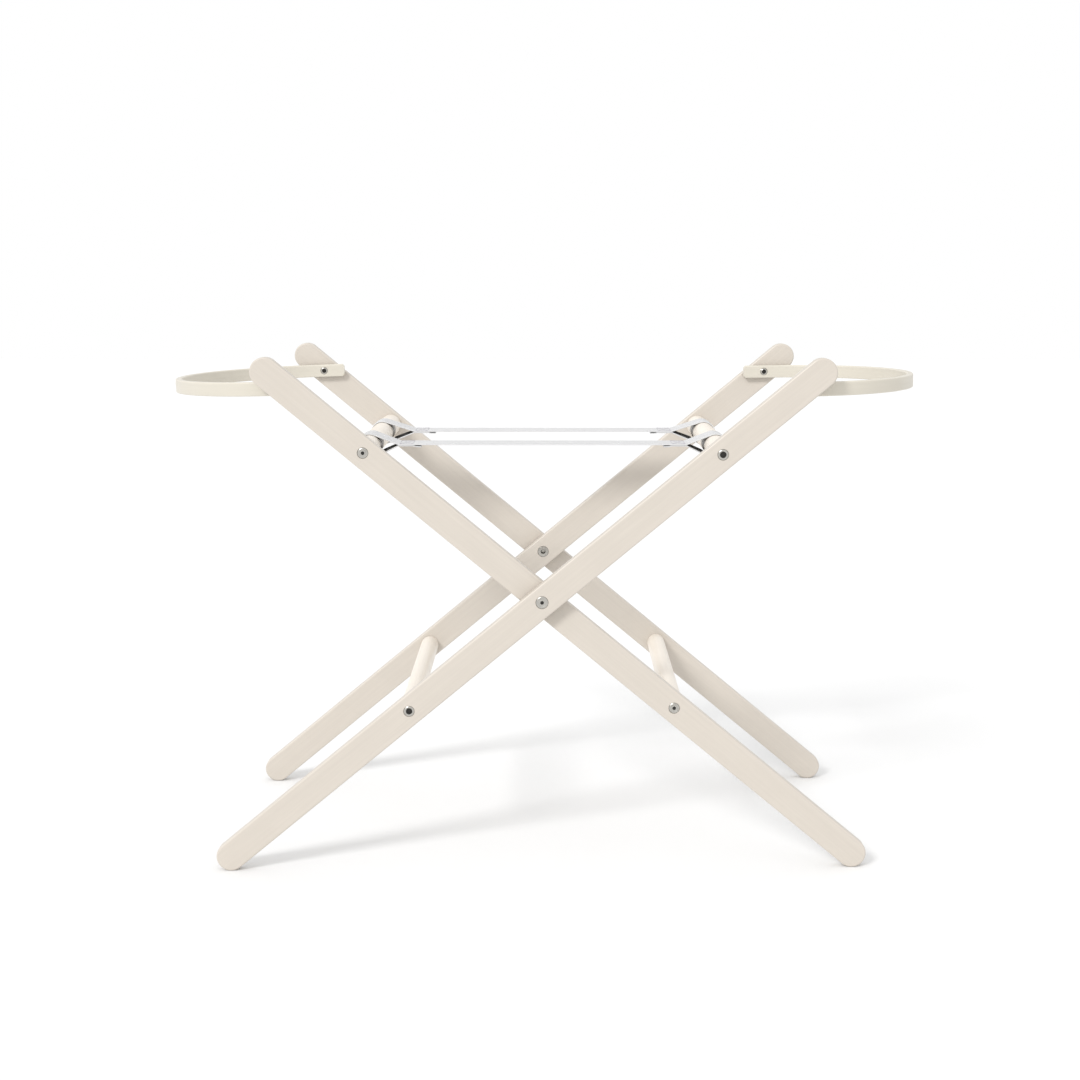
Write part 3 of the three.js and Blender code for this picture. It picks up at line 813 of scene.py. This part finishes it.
class StandHardware(bpy.types.Operator):
    """Makes the bolts, screws, sleeve nuts, threaded inserts and washers"""

    bl_idname = "stand.hardware"
    bl_label = "Bolts and screws"

    def place(self, node, mesh, material, slot, body, dark=None):
        finish_piece(f"{node}_fitted", mesh, material, body, [node], 30, dark)

    def place_headed(self, node, toward, socket, shank, materials, body):
        """Places a bolt or screw, its hex socket in the second of the two materials, which paints the shade
        in the socket near-black.
        """
        low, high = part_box(node)
        x, z = axis_of(node)
        face = low.y if toward > 0 else high.y
        reach = socket / 2 / math.cos(math.pi / 6) + 0.0002

        # The faces deep in the socket take the painted shade.
        def in_socket(centre):
            deep = (centre.y - face) * toward
            return 0.0004 < deep < 0.0018 and math.hypot(centre.x - x, centre.z - z) < reach

        mesh = self.headed(node, toward, socket, shank)
        self.place(node, mesh, materials[0], "bolt_steel", body, (materials[1], in_socket))

    def headed(self, node, toward, socket, shank):
        """A bolt or screw whose head faces away from toward, with a hex socket and a ringed head."""
        low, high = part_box(node)
        axis = axis_of(node)
        face, tip = (low.y, high.y) if toward > 0 else (high.y, low.y)
        head = radius_of(node)
        thick = 0.0023 if head > 0.005 else 0.0019
        profile = [
            (head * 0.60, face + toward * 0.0004),
            (head * 0.67, face),
            (head - 0.0011, face),
            (head - 0.0004, face + toward * 0.0003),
            (head, face + toward * 0.0006),
            (head, face + toward * thick),
            (shank, face + toward * thick),
            (shank, tip - toward * 0.0005),
            (shank - 0.0005, tip),
        ]
        mesh = turned(node, axis, profile)
        flat = socket / 2 / math.cos(math.pi / 6)
        x, z = axis
        depth = 0.0015 if head > 0.005 else 0.0012
        rings = []
        for reach, y in ((flat + 0.0013, -0.001), (flat + 0.0003, 0.0002), (flat, 0.0005), (flat, depth)):
            ring = []
            for i in range(6):
                turn = math.pi / 3 * i + 0.4
                out, up = reach * math.cos(turn), reach * math.sin(turn)
                ring.append(Vector((x + out, face + toward * y, z + up)))
            rings.append(ring)
        return subtract(mesh, ring_solid("tool", rings))

    def tube(self, node, bore, ribbed=False):
        low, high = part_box(node)
        radius = radius_of(node)
        soft = min(0.0003, (high.y - low.y) / 4)
        outside = [(radius - soft, low.y), (radius, low.y + soft)]
        if ribbed:
            ribs = 10
            pitch = (high.y - low.y - 0.002) / ribs
            for i in range(ribs):
                y = low.y + 0.001 + pitch * i
                outside += [(radius, y), (radius - 0.0004, y + pitch * 0.5)]
        outside += [(radius, high.y - soft), (radius - soft, high.y)]
        inside = [(bore + soft, high.y), (bore, high.y - soft), (bore, low.y + soft), (bore + soft, low.y)]
        return turned(node, axis_of(node), outside + inside, 48, capped=False)

    def sleeve_nut(self, node, toward, bore, shank):
        low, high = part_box(node)
        face, tip = (low.y, high.y) if toward > 0 else (high.y, low.y)
        head = radius_of(node)
        profile = [
            (bore + 0.0003, face),
            (head - 0.0006, face),
            (head - 0.0002, face + toward * 0.0002),
            (head, face + toward * 0.0006),
            (head, face + toward * 0.0023),
            (shank, face + toward * 0.0023),
            (shank, tip),
            (bore, tip),
            (bore, face + toward * 0.0003),
        ]
        return turned(node, axis_of(node), profile, capped=False)

    def execute(self, context):
        colours = context.scene.stand_colours
        steel = metal("nickel_plate", colours.steel[:])
        # The second material paints the shade in the hex sockets.
        steels = (steel, metal("painted_socket_shade", colours.socket[:], 0.8))
        brass = metal("turned_brass", colours.brass[:], 0.7)
        plastic = nylon()
        for frame_name in FRAMES:
            for end, inward in (("front", 1), ("rear", -1)):
                for level in ("upper", "lower"):
                    bar = f"{frame_name}_{level}_bar_{end}"
                    self.place_headed(f"{bar}_bolt", inward, 0.004, 0.003, steels, frame_name)
                    mesh = self.tube(f"{bar}_insert", BOLT_BORE, True)
                    self.place(f"{bar}_insert", mesh, brass, "insert_brass", frame_name)
                hinge = f"{HOOP_OF[frame_name]}_{end}"
                self.place_headed(f"{hinge}_screw", -inward, 0.003, 0.0025, steels, frame_name)
                mesh = self.tube(f"{hinge}_insert", SCREW_BORE, True)
                self.place(f"{hinge}_insert", mesh, brass, "insert_brass", frame_name)
                mesh = self.tube(f"{hinge}_washer", SCREW_BORE)
                self.place(f"{hinge}_washer", mesh, plastic, "washer_nylon", frame_name)
        for end, inward in (("front", 1), ("rear", -1)):
            pivot = f"{end}_pivot"
            self.place_headed(f"{pivot}_bolt", inward, 0.004, 0.003, steels, "left_frame")
            mesh = self.sleeve_nut(f"{pivot}_sleeve_nut", -inward, BOLT_BORE, 0.0045)
            self.place(f"{pivot}_sleeve_nut", mesh, steel, "bolt_steel", "left_frame")
            mesh = self.tube(f"{pivot}_washer", SLEEVE_BORE)
            self.place(f"{pivot}_washer", mesh, plastic, "washer_nylon", "left_frame")
        return {"FINISHED"}


class StandStraps(bpy.types.Operator):
    """Makes the two webbing straps, sewn round the upper bars, with dark sheets of painted shade in their
    loops and at their tail ends
    """

    bl_idname = "stand.straps"
    bl_label = "Straps"

    selvedge = (-1, -0.985, -0.965, -0.93, -0.6, -0.2, 0.2, 0.6, 0.93, 0.965, 0.985, 1)

    def loop(self, sizes, bar_radius, seam):
        """One loop in (inward, up) from the bar's middle: tail end, bar, and the top layer's seam."""
        half = sizes.strap_thickness / 2
        around = bar_radius + CLEARANCE + half
        top = sizes.strap_rise - half
        under = top - sizes.strap_thickness
        tail = seam + sizes.seam_length

        def touch(height, way):
            return math.atan2(height, seam) + way * math.acos(around / math.hypot(seam, height))

        def on_bar(angle):
            return Vector((around * math.cos(angle), around * math.sin(angle)))

        upper, lower = touch(top, 1), touch(under, -1)
        droops = ((0.0, 0.0011), (0.003, 0.0011), (0.006, 0.001), (0.008, 0.0005), (0.0095, 0.0))
        points = [Vector((tail - back, under - droop)) for back, droop in droops]
        points += [Vector((seam + 0.004 * i, under)) for i in (3, 2, 1)]
        seam_under, seam_top = Vector((seam, under)), Vector((seam, top))
        points.append(seam_under)
        points += [seam_under.lerp(on_bar(lower), share / 8) for share in range(1, 8)]
        steps = 40
        turn = lower - (upper - 2 * math.pi)
        points += [on_bar(lower - turn * i / steps) for i in range(steps + 1)]
        points += [on_bar(upper).lerp(seam_top, share / 8) for share in range(1, 8)]
        points.append(seam_top)
        return points, (on_bar(lower), seam_under)

    def band(self, name, points, middle, width, halves):
        """Webbing along points in the XZ plane, its half thickness at each, with thin sewn-in edges."""
        rings, places = [], []
        travelled = 0.0
        for i, (point, half) in enumerate(zip(points, halves)):
            before, after = points[max(i - 1, 0)], points[min(i + 1, len(points) - 1)]
            along = (after - before).normalized()
            out = Vector((-along.z, 0, along.x))
            travelled += (point - points[i - 1]).length if i else 0.0
            ring = []
            for way in (1, -1):
                for share in self.selvedge[::way]:
                    thin = {1: 0.4, 0.985: 0.85}.get(abs(share), 0.9 if abs(share) == 0.93 else 1.0)
                    offset = Vector((0, middle + share * width / 2, 0))
                    ring.append(point + offset + out * half * thin * way)
                    places.append(Vector((travelled, share * width / 2, half * way)))
            rings.append(ring)
        mesh = ring_solid(name, rings)
        layer = mesh.attributes.new("piece_coordinate", "FLOAT_VECTOR", "POINT")
        for value, place in zip(layer.data, places):
            value.vector = place
        return mesh, travelled

    def stitches(self, name, lines, thread, pitch=0.0031):
        """Raised stitches end to end along each (start, end, out) line."""
        bm = bmesh.new()
        for start, end, out in lines:
            count = max(1, round((end - start).length / pitch))
            step = (end - start) / count
            side = step.normalized().cross(out)
            for i in range(count):
                rows = []
                for share, size, rise in (
                    (0.04, 0.45, -0.35), (0.16, 0.85, 0.1), (0.35, 1.0, 0.3),
                    (0.65, 1.0, 0.3), (0.84, 0.85, 0.1), (0.96, 0.45, -0.35),
                ):
                    centre = start + step * (i + share) + out * thread / 2 * rise
                    row = []
                    for j in range(8):
                        turn = math.pi / 4 * j
                        reach = thread / 2 * size
                        way = side * math.cos(turn) + out * math.sin(turn)
                        row.append(bm.verts.new(centre + way * reach))
                    rows.append(row)
                for low, high in zip(rows, rows[1:]):
                    for j in range(8):
                        bm.faces.new((low[j], low[(j + 1) % 8], high[(j + 1) % 8], high[j]))
                bm.faces.new(list(reversed(rows[0])))
                bm.faces.new(rows[-1])
        bmesh.ops.recalc_face_normals(bm, faces=bm.faces)
        mesh = bpy.data.meshes.new(name)
        bm.to_mesh(mesh)
        bm.free()
        return mesh

    def seam_lines(self, sizes, seam, width, place):
        """A box with a cross in it, on both sides of the doubled part.

        Place puts (inward, y, up) in the world.
        """
        near, far = seam + 0.0015, seam + sizes.seam_length - 0.0105
        side = width / 2 - 0.0035
        corners = [(near, -side), (far, -side), (far, side), (near, side)]
        pairs = list(zip(corners, corners[1:] + corners[:1]))
        pairs += [(corners[0], corners[2]), (corners[1], corners[3])]
        lines = []
        for height, way in ((sizes.strap_rise, 1), (sizes.strap_rise - 2 * sizes.strap_thickness, -1)):
            for first, second in pairs:
                lines.append((place(*first, height), place(*second, height), Vector((0, 0, way))))
        return lines

    def shade_sheet_places(self, seam, sizes, touch, seam_under):
        """Dark sheets of painted shade as (place, thickness) along them: inside the loop, where its deep
        shade falls, and between the layers at the tail end, for the shade in that gap.
        """
        half = sizes.strap_thickness / 2
        away = (touch - seam_under).normalized()
        up = Vector((away.y, -away.x)) if away.x < 0 else Vector((-away.y, away.x))
        reach = (touch - seam_under).length
        inside = []
        for share, thick in ((0.045, 0.0003), (0.2, 0.0006), (0.4, 0.0009), (0.6, 0.0011), (0.76, 0.0012)):
            inside.append((seam_under + away * reach * share + up * (half + thick / 2 + 0.00002), thick))
        tail = seam + sizes.seam_length
        roof = sizes.strap_rise - sizes.strap_thickness - 0.00004
        between = []
        for back, thick in ((0.0005, 0.001), (0.003, 0.001), (0.006, 0.0009), (0.0078, 0.0004)):
            between.append((Vector((tail - back, roof - thick / 2)), thick))
        return {"loop_shade_sheet": inside, "tail_shade_sheet": between}

    def execute(self, context):
        sizes = context.scene.stand_sizes
        left, right = axis_of("left_frame_upper_bar"), axis_of("right_frame_upper_bar")
        bar_x, bar_z = (right[0] - left[0]) / 2, left[1]
        centre_x = (right[0] + left[0]) / 2
        half = sizes.strap_thickness / 2
        webbing, thread, shade_sheet = webbing_material(), thread_material(), shade_sheet_material()
        for end, seam in (("front", sizes.front_seam), ("rear", sizes.rear_seam)):
            loop, (touch, seam_under) = self.loop(sizes, sizes.upper_bar / 2, seam)
            node = f"{end}_strap"
            low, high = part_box(node)
            width = high.y - low.y
            middle = (low.y + high.y) / 2

            def put(side, inward, y, up, middle=middle):
                return Vector((centre_x + side * (bar_x - inward), middle + y, bar_z + up))

            left_loop = [put(-1, p.x, 0, p.y) for p in loop]
            right_loop = [put(1, p.x, 0, p.y) for p in reversed(loop)]
            span = [left_loop[-1].lerp(right_loop[0], i / 48) for i in range(1, 48)]
            points = [Vector((p.x, 0, p.z)) for p in left_loop + span + right_loop]
            mesh, total = self.band(node, points, middle, width, [half] * len(points))
            strap = finish_piece(f"{node}_webbing", mesh, webbing, None, [node], 50)
            sewn_on = []
            for frame_name, side in FRAMES.items():
                name = f"{node}_{frame_name.split('_')[0]}"

                def place(inward, y, up, side=side):
                    return put(side, inward, y, up)

                mesh = self.stitches(name, self.seam_lines(sizes, seam, width, place), sizes.thread)
                sewn_on.append(finish_piece(f"{name}_stitching", mesh, thread, None, []))

                # Near-black sheets of painted shade inside each loop and in the gap between the layers at
                # each tail end.
                strips = self.shade_sheet_places(seam, sizes, touch, seam_under)
                for part, spots in strips.items():
                    centres = [put(side, spot.x, 0, spot.y) for spot, _ in spots]
                    points = [Vector((centre.x, 0, centre.z)) for centre in centres]
                    halves = [thick / 2 for _, thick in spots]
                    mesh, _ = self.band(name, points, middle, width - 0.0012, halves)
                    sewn_on.append(finish_piece(f"{name}_{part}", mesh, shade_sheet, None, []))
            for piece in (strap, *sewn_on):
                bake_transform(piece)
        return {"FINISHED"}


class StandSetting(bpy.types.Operator):
    """Makes the pale floor, the soft studio lights and the camera"""

    bl_idname = "stand.setting"
    bl_label = "Floor, lights and camera"

    def soft_light(self, name, strength, softness, come_from):
        data = bpy.data.lights.new(name, "SUN")
        data.energy = strength
        data.angle = softness
        lamp = bpy.data.objects.new(name, data)
        lamp.location = come_from
        lamp.rotation_mode = "QUATERNION"
        lamp.rotation_quaternion = (-Vector(come_from)).to_track_quat("-Z", "Y")
        bpy.context.scene.collection.objects.link(lamp)

    def execute(self, context):
        stage = context.scene.stand_stage
        bm = bmesh.new()
        bmesh.ops.create_grid(bm, x_segments=8, y_segments=8, size=12)
        mesh = bpy.data.meshes.new("floor")
        bm.to_mesh(mesh)
        bm.free()
        floor = bpy.data.objects.new("floor", mesh)
        tree, material = start_material("floor_paint")
        shade(tree, Base_Color=(*stage.floor, 1), Roughness=0.9, Specular_IOR_Level=0.1)
        mesh.materials.append(material)
        context.scene.collection.objects.link(floor)

        self.soft_light("key_light", stage.key, stage.key_softness, (-2.4, -3.63, 3.0))
        world = bpy.data.worlds.new("studio")
        context.scene.world = world
        world.use_nodes = True
        world.node_tree.nodes["Background"].inputs["Color"].default_value = (1, 1, 1, 1)
        world.node_tree.nodes["Background"].inputs["Strength"].default_value = stage.surround
        context.scene.view_settings.view_transform = "Standard"

        data = bpy.data.cameras.new("camera")
        data.lens = 62.366
        data.sensor_width = 36.0
        data.clip_end = 60.0
        camera = bpy.data.objects.new("camera", data)
        camera.location = (0.00827, -2.41825, 0.7342)
        camera.rotation_euler = (math.radians(90 - 8.41), 0, math.radians(0.28))
        context.scene.collection.objects.link(camera)
        context.scene.camera = camera
        return {"FINISHED"}


class StandPanel(bpy.types.Panel):
    """Lists the stand's pieces, sizes and colours"""

    bl_idname = "VIEW3D_PT_basket_stand"
    bl_label = "Basket stand"
    bl_space_type = "VIEW_3D"
    bl_region_type = "UI"
    bl_category = "Basket stand"

    def draw(self, context):
        for operator in OPERATORS:
            self.layout.operator(operator.bl_idname)
        for group in (context.scene.stand_sizes, context.scene.stand_colours, context.scene.stand_stage):
            for name in group.__annotations__:
                self.layout.prop(group, name)


GROUPS = {"stand_sizes": StandSizes, "stand_colours": StandColours, "stand_stage": StandStage}
OPERATORS = (StandSetting, StandLegs, StandBars, StandHoops, StandHardware, StandStraps)


def register():
    for group in GROUPS.values():
        bpy.utils.register_class(group)
    for name, group in GROUPS.items():
        setattr(bpy.types.Scene, name, PointerProperty(type=group))
    for operator in OPERATORS:
        bpy.utils.register_class(operator)
    bpy.utils.register_class(StandPanel)


def unregister():
    bpy.utils.unregister_class(StandPanel)
    for operator in reversed(OPERATORS):
        bpy.utils.unregister_class(operator)
    for name in GROUPS:
        delattr(bpy.types.Scene, name)
    for group in GROUPS.values():
        bpy.utils.unregister_class(group)


def main():
    register()
    bpy.ops.stand.setting()
    bpy.ops.stand.legs()
    bpy.ops.stand.bars()
    bpy.ops.stand.hoops()
    bpy.ops.stand.hardware()
    bpy.ops.stand.straps()


if __name__ == "__main__":
    main()
